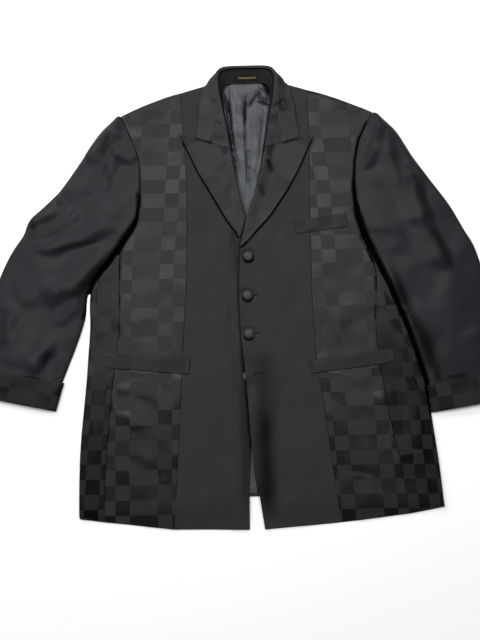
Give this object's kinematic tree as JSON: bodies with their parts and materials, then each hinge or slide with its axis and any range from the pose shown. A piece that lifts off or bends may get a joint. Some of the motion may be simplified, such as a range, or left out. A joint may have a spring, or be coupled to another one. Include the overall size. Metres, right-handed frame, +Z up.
{
  "type": "tuxedo blazer",
  "caption": "Long black tuxedo blazer laid flat and buttoned, with peaked lapels, tone-on-tone check side fronts, flap pockets, a chest welt and turned-up check cuffs.",
  "frame": {"origin": "on the surface the jacket lies on, under the middle of its spread", "axes": "+X is the wearer's left, +Y is towards the collar, +Z is up, out of the front of the jacket"},
  "size_m": [1.0953, 0.9811, 0.0224],
  "materials": {
    "plain_cloth": "fine matt wool, black",
    "check_cloth": "tone-on-tone checkerboard jacquard, black, satin squares on matt ones",
    "sleeve_cloth": "fine twill with a slight sheen, black",
    "lapel_cloth": "fine matt wool, black, pressed",
    "satin_lining": "satin, blue grey",
    "label_cloth": "woven, black, with a plain gold rule and no lettering",
    "button_cloth": "buttons covered in black cloth"
  },
  "bodies": {
    "root": {"back": "plain_cloth", "back_lining": "satin_lining", "right_front_plain": "plain_cloth", "right_front_check": "check_cloth", "right_side_panel": "check_cloth", "right_sleeve_upper": "sleeve_cloth", "right_sleeve_under": "sleeve_cloth", "right_cuff_upper": "check_cloth", "right_cuff_under": "check_cloth", "right_lapel": "lapel_cloth", "right_hip_flap": "check_cloth", "left_front_plain": "plain_cloth", "left_front_check": "check_cloth", "left_side_panel": "check_cloth", "left_sleeve_upper": "sleeve_cloth", "left_sleeve_under": "sleeve_cloth", "left_cuff_upper": "check_cloth", "left_cuff_under": "check_cloth", "left_lapel": "lapel_cloth", "left_hip_flap": "check_cloth", "chest_welt": "check_cloth", "collar_leaf": "lapel_cloth", "collar_stand": "lapel_cloth", "label": "label_cloth", "button_1": "button_cloth", "button_2": "button_cloth", "button_3": "button_cloth", "button_4": "button_cloth"}
  },
  "joints": []
}
